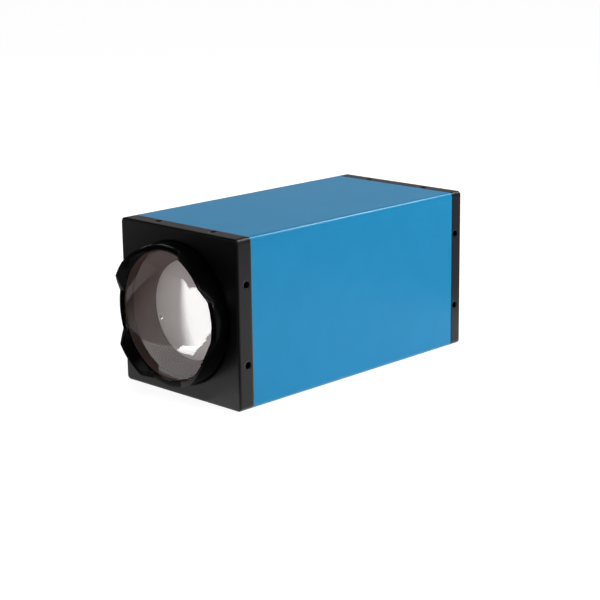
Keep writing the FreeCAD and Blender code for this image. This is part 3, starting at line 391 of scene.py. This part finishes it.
def make_lens_card(strength):
    """Bright card low in front of the lens: it is what the front glass mirrors."""
    heading = math.radians(-28.0)
    lens_depth = 3.5 * MM            # rim of the lens behind the petals' tips
    gap, start_height = 42 * MM, 2 * MM
    run, rise = 158 * MM, 40 * MM
    # corners in mm on the card: to the right, and away from the lens
    outline = [(-75, 137), (-14, 137), (1, 105), (12, 119), (40, 60), (40, 40), (16, 0),
               (6, -10), (-75, -10)]
    ahead = Vector((math.sin(heading), -math.cos(heading), 0.0))
    across = Vector((math.cos(heading), math.sin(heading), 0.0))
    up = Vector((0.0, 0.0, 1.0))
    lens_front = Vector((0.0, CAD_BOX[0].y + lens_depth, 0.0))
    near = lens_front + gap * ahead + start_height * up
    along = (run * ahead + rise * up).normalized()
    card = flat_mesh("lens_card", [(x * MM, y * MM, 0.0) for x, y in outline])
    turn = Matrix((across, along, across.cross(along))).transposed().to_4x4()
    card.matrix_world = Matrix.Translation(near) @ turn
    card.data.materials.append(fading_glow(strength))
    show_in_mirrors_alone(card)
    shine_on(card, ["front_lens"])


# ---------------------------------------------------------------- lamps and camera
def soft_box(name, place, target, size, watts):
    """Rectangular lamp at `place`, facing `target`."""
    lamp = bpy.data.lights.new(name, "AREA")
    lamp.shape = "RECTANGLE"
    lamp.size, lamp.size_y = size
    lamp.energy = watts
    holder = bpy.data.objects.new(name, lamp)
    bpy.context.scene.collection.objects.link(holder)
    holder.location = place
    aim = Vector(target) - Vector(place)
    holder.rotation_euler = aim.to_track_quat("-Z", "Y").to_euler()
    holder.visible_camera = False
    return holder


def sheen_box(name, place, target, size, watts, nodes):
    """Lamp that shows as a sheen on the named nodes and lights nothing else."""
    holder = soft_box(name, place, target, size, watts)
    holder.visible_diffuse = False
    shine_on(holder, nodes)


def floor_sheen(name, place, size, watts, nodes, height=0.4 * MM):
    """Sheen lamp that lies `height` above the object's foot and faces up."""
    x, y = place
    sheen_box(name, (x, y, CAD_BOX[0].z + height), (x, y, 1.0), size, watts, nodes)


def make_camera(azimuth, elevation, roll, place, lens):
    """Camera at `place`, looking along the given angles in degrees."""
    turn = math.radians(azimuth)
    rise = math.radians(elevation)
    tilt = math.radians(roll)
    back = Vector((math.sin(turn) * math.cos(rise), -math.cos(turn) * math.cos(rise),
                   math.sin(rise)))
    level = Vector((math.cos(turn), math.sin(turn), 0.0))
    lift = back.cross(level)
    right = math.cos(tilt) * level + math.sin(tilt) * lift
    up = math.cos(tilt) * lift - math.sin(tilt) * level
    data = bpy.data.cameras.new("camera")
    data.sensor_width = 36.0
    data.lens = lens
    data.clip_start = 0.01
    data.clip_end = 20.0
    camera = bpy.data.objects.new("camera", data)
    bpy.context.scene.collection.objects.link(camera)
    columns = Matrix((right, up, back)).transposed().to_4x4()
    camera.matrix_world = Matrix.Translation(place) @ columns
    bpy.context.scene.camera = camera


def make_lamps():
    """Four soft lamps that light all, and the softboxes and glints that the gloss shows."""
    middle = (CAD_BOX[0] + CAD_BOX[1]) / 2.0
    soft_box("key", (0.5, 0.2, 0.38), middle, size=(0.35, 0.35), watts=2.6)
    soft_box("fill", (-0.15, -0.8, 0.35), middle, size=(0.5, 0.5), watts=0.7)
    soft_box("overhead", (0.0, 0.0, 0.7), middle, size=(0.3, 0.3), watts=0.7)
    left_fill = soft_box("left_fill", (-0.5, 0.3, 0.2), middle, size=(0.4, 0.4), watts=1.2)
    left_fill.visible_glossy = False

    shell = ["front_plate", "rear_plate", "sleeve"]
    floor_sheen("front_sheen", (-0.09, -0.147), size=(0.2, 0.2), watts=0.1,
                nodes=["front_plate"])
    floor_sheen("side_sheen", (0.11, 0.01), size=(0.2, 0.15), watts=0.16, nodes=shell)
    floor_sheen("low_glow", (-0.03, -0.088), size=(0.08, 0.06), watts=0.03,
                nodes=["front_lens"])
    floor_sheen("card_foot", (-0.012, -0.09), size=(0.012, 0.026), watts=0.02,
                nodes=["front_lens"], height=0.8 * MM)
    sheen_box("edge_sheen", (0.085, 0.36, 0.4), middle, size=(0.12, 0.06), watts=2.3,
              nodes=shell)
    sheen_box("rim_sheen", (-0.34, -0.17, 0.36), middle, size=(0.2, 0.2), watts=1.8,
              nodes=["lens_collar"])
    sheen_box("rim_glint", (0.26, -0.24, 0.14), middle, size=(0.08, 0.1), watts=2.5,
              nodes=["lens_collar"])


def make_stage():
    bpy.context.scene.view_settings.view_transform = "Standard"
    make_world(ambient=0.25)
    make_floor(half_size=3.0, shaded_share=0.4, glow_strength=1.52)
    make_dark_mat(height=0.1 * MM)
    make_lens_card(strength=24.0)
    make_lamps()
    make_camera(azimuth=44.63, elevation=14.28, roll=-0.78, place=(0.3425, -0.3446, 0.14336),
                lens=96.74)


# ---------------------------------------------------------------- the scene
dress_nodes()
loosen("front_lens", 0.03 * MM)
make_stage()
